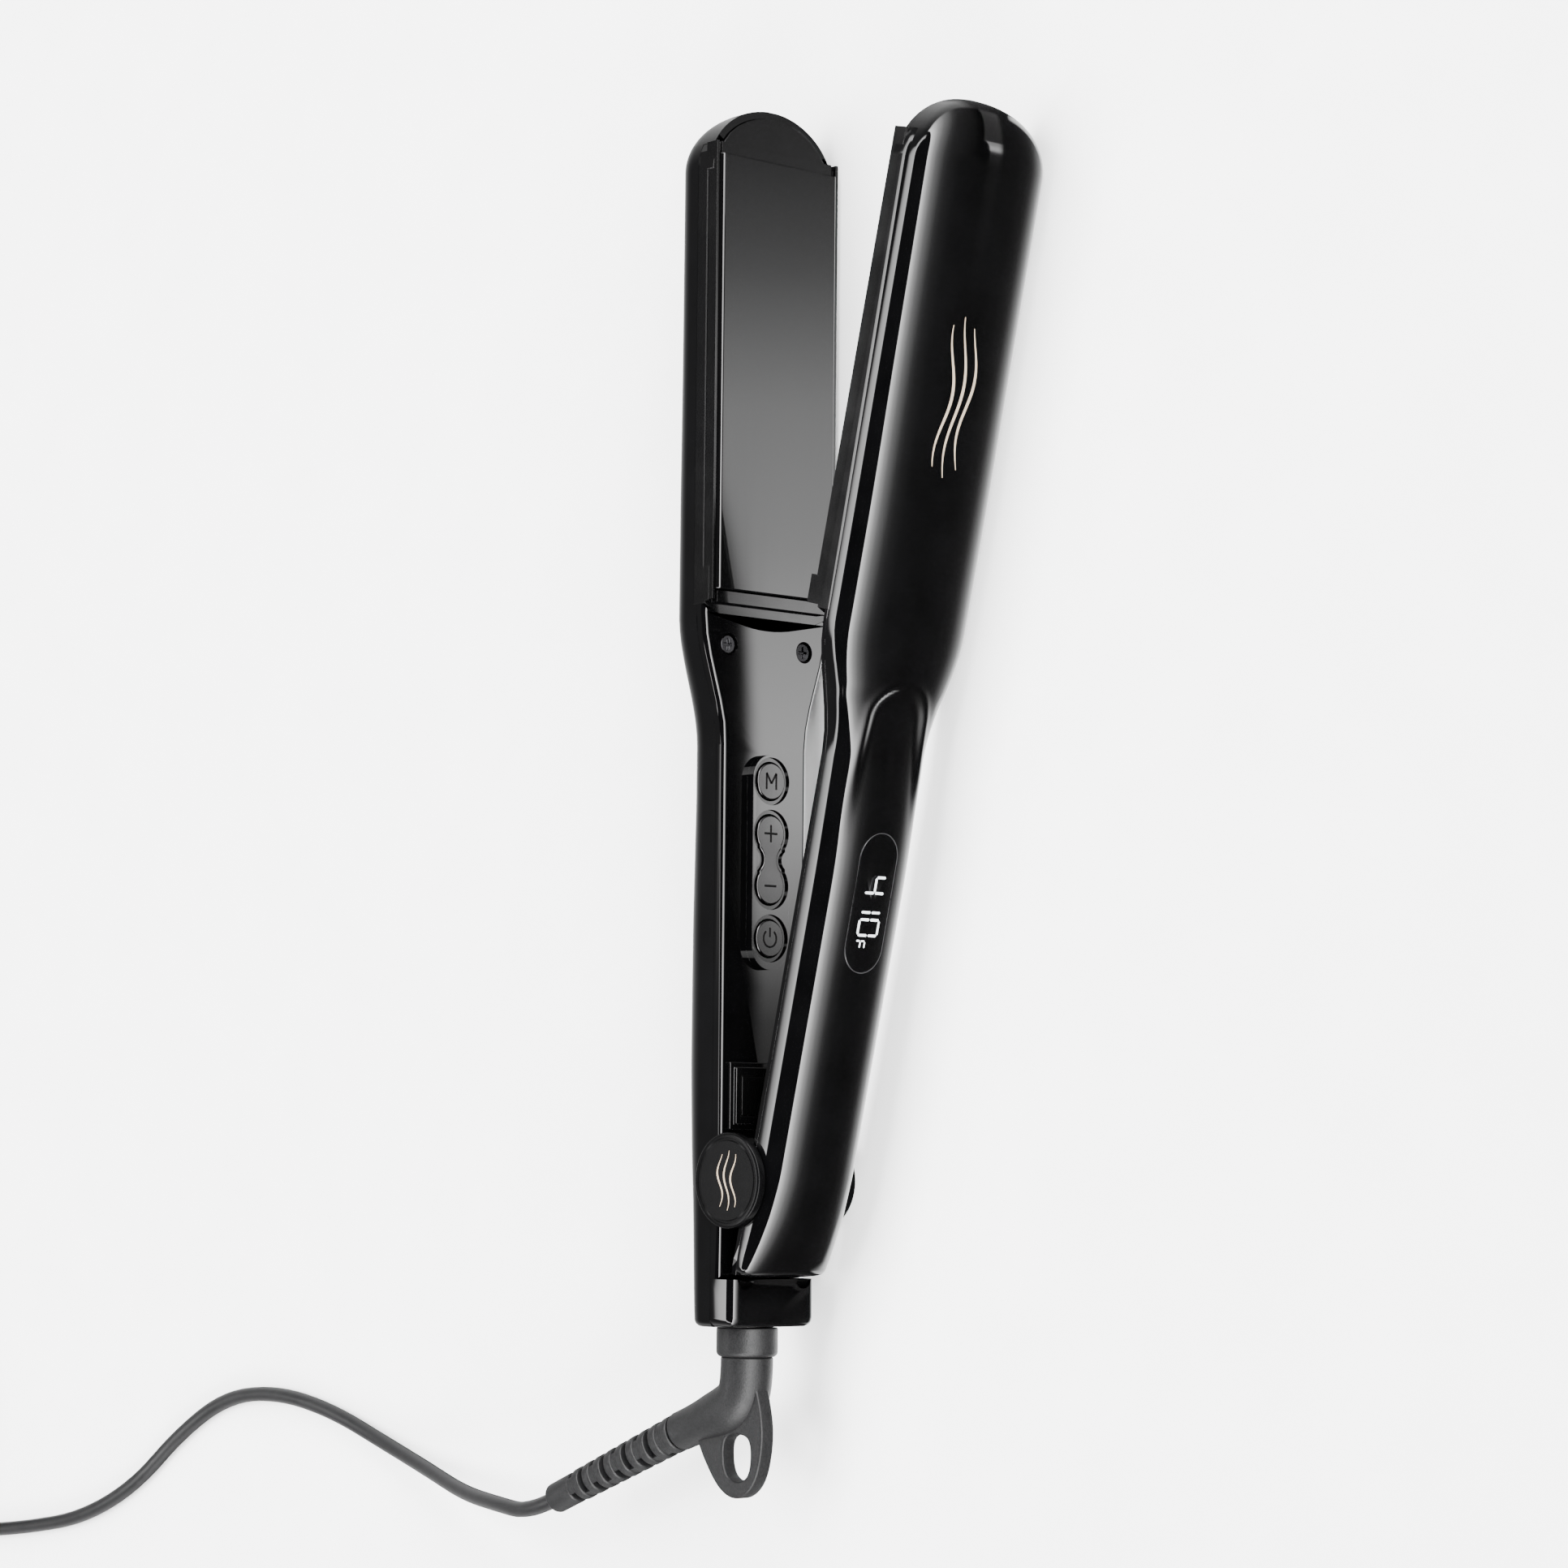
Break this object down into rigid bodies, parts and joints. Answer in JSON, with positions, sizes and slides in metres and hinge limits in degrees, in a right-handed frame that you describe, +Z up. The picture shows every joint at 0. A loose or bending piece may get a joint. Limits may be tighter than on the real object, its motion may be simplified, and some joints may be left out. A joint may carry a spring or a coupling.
{
  "type": "flat iron",
  "caption": "Hair flat iron lying open on its side: two hinged arms with floating heated plates, button strip, display window, swivel cord and coiled lead with mains plug.",
  "frame": {"origin": "bottom centre of the iron's box without its lead, on the surface that the iron lies on", "axes": "+X along the base arm towards the plate tips, +Y away from the moving arm, +Z up along the hinge pin"},
  "size_m": [0.3576, 0.4971, 0.039],
  "materials": {
    "gloss_shell": "piano gloss black moulded plastic",
    "gloss_cover": "gloss black moulded plastic",
    "satin_carrier": "satin heat-resistant glass-filled plastic",
    "plate_coating": "dark titanium ceramic coating, soft mirror",
    "heater_ceramic": "fired alumina ceramic",
    "spring_steel": "bright spring steel",
    "silicone_buffer": "red heat-proof silicone",
    "screw_steel": "zinc-plated steel",
    "bracket_steel": "stamped steel",
    "cap_satin": "satin black plastic with a fine grain",
    "button_black": "semi-gloss black plastic",
    "circuit_board": "green solder mask",
    "board_parts": "moulded component bodies",
    "terminal_plastic": "natural nylon",
    "lead_insulation": "white silicone insulation",
    "display_window": "smoked clear acrylic",
    "display_light": "white light segments",
    "swivel_rubber": "dark grey grained rubber",
    "cord_jacket": "satin dark PVC jacket",
    "tie_strap": "soft black strap",
    "plug_plastic": "moulded dark PVC",
    "blade_brass": "plated brass"
  },
  "bodies": {
    "base": {"base_cover_screws": "screw_steel", "base_end_block": "gloss_cover", "base_float_buffers": "silicone_buffer", "base_inner_cover": "gloss_cover", "base_outer_shell": "gloss_shell", "base_plate_carrier": "satin_carrier", "board_components": "board_parts", "board_leads": "lead_insulation", "button_seals": "button_black", "coil_tie": "tie_strap", "control_board": "circuit_board", "cord_coil": "cord_jacket", "cord_run": "cord_jacket", "cord_tail": "cord_jacket", "heater_leads": "lead_insulation", "hinge_bracket": "bracket_steel", "hinge_cap_lower": "cap_satin", "hinge_cap_upper": "cap_satin", "hinge_pin": "screw_steel", "hinge_washers": "bracket_steel", "mains_leads": "lead_insulation", "mains_terminal_block": "terminal_plastic", "opening_spring": "spring_steel", "plug_blades": "blade_brass", "plug_body": "plug_plastic", "plug_strain_relief": "plug_plastic", "rest_pad": "gloss_cover", "rest_pad_insert": "cap_satin", "tact_switches": "board_parts"},
    "moving_arm": {"arm_cover_screws": "screw_steel", "arm_float_buffers": "silicone_buffer", "arm_heater_leads": "lead_insulation", "arm_inner_cover": "gloss_cover", "arm_leads": "lead_insulation", "arm_outer_shell": "gloss_shell", "arm_plate_carrier": "satin_carrier", "display_board": "circuit_board", "display_digits": "display_light", "display_lens": "display_window", "display_module": "board_parts"},
    "base_plate_float": {"base_heating_plate": "plate_coating", "base_heater": "heater_ceramic", "base_heater_clip": "spring_steel"},
    "arm_plate_float": {"arm_heating_plate": "plate_coating", "arm_heater": "heater_ceramic", "arm_heater_clip": "spring_steel"},
    "mode_key": {"mode_button": "button_black"},
    "power_key": {"power_button": "button_black"},
    "temperature_key": {"temperature_rocker": "button_black"},
    "cord_swivel": {"swivel_collar": "swivel_rubber", "swivel_elbow": "swivel_rubber", "cord_boot": "swivel_rubber"}
  },
  "joints": [
    {"name": "arm_hinge", "type": "hinge", "parent": "base", "child": "moving_arm", "pos_m": [-0.08468, -0.00453, 0.0195], "axis": [0, 0, 1], "range_deg": [0, 13.71], "stiffness_Nm_per_rad": 1.5, "springref_deg": -25.78, "deforming": ["opening_spring"]},
    {"name": "base_plate_slide", "type": "slide", "parent": "base", "child": "base_plate_float", "axis": [0, 1, 0], "range_m": [0, 0.0007], "stiffness_N_per_m": 3000, "springref_m": -0.0004},
    {"name": "arm_plate_slide", "type": "slide", "parent": "moving_arm", "child": "arm_plate_float", "axis": [-0.237, -0.9715, 0], "range_m": [0, 0.0007], "stiffness_N_per_m": 3000, "springref_m": -0.0004},
    {"name": "mode_press", "type": "slide", "parent": "base", "child": "mode_key", "axis": [0, 1, 0], "range_m": [0, 0.0004], "stiffness_N_per_m": 800, "springref_m": -0.0003},
    {"name": "power_press", "type": "slide", "parent": "base", "child": "power_key", "axis": [0, 1, 0], "range_m": [0, 0.0004], "stiffness_N_per_m": 800, "springref_m": -0.0003},
    {"name": "temperature_rock", "type": "hinge", "parent": "base", "child": "temperature_key", "pos_m": [-0.01082, 0.00134, 0.0195], "axis": [0, 0, 1], "range_deg": [-2.5, 2.5], "stiffness_Nm_per_rad": 0.05},
    {"name": "cord_swivel_turn", "type": "hinge", "parent": "base", "child": "cord_swivel", "pos_m": [-0.12068, 0.0046, 0.0195], "axis": [1, 0, 0], "continuous": true, "deforming": ["cord_run"]}
  ]
}
